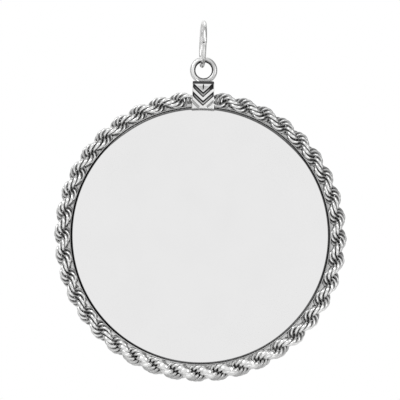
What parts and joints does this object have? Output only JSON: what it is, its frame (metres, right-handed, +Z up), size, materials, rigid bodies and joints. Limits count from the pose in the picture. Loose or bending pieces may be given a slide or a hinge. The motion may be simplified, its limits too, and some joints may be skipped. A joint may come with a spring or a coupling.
{
  "type": "disc pendant",
  "caption": "Polished round disc in a thin bezel with a twisted rope-chain border, a chevron clip with a soldered ring on top, and a round wire bail that a neck chain passes through.",
  "frame": {"origin": "inner top of the bail, where the neck chain bears", "axes": "+Z up, along which the pendant hangs; -Y is the way the disc's face looks; +X to the right as the face is seen"},
  "size_m": [0.0431, 0.007, 0.0538],
  "materials": {
    "polished_disc": "mirror-polished rhodium-plated silver with a faint buffing haze",
    "polished_bezel": "polished rhodium-plated silver",
    "rope_links": "polished silver wire, darker between the links",
    "chevron_metal": "polished silver with blackened chevron grooves",
    "bail_wire": "polished silver wire"
  },
  "bodies": {
    "bail": {"bail": "bail_wire"},
    "pendant": {"disc": "polished_disc", "bezel": "polished_bezel", "rope_border": "rope_links", "chevron_clip": "chevron_metal"}
  },
  "joints": [
    {"name": "pendant_swing", "type": "hinge", "parent": "bail", "child": "pendant", "pos_m": [0, 0, -0.00617], "axis": [0, 1, 0], "range_deg": [-90, 90]}
  ]
}
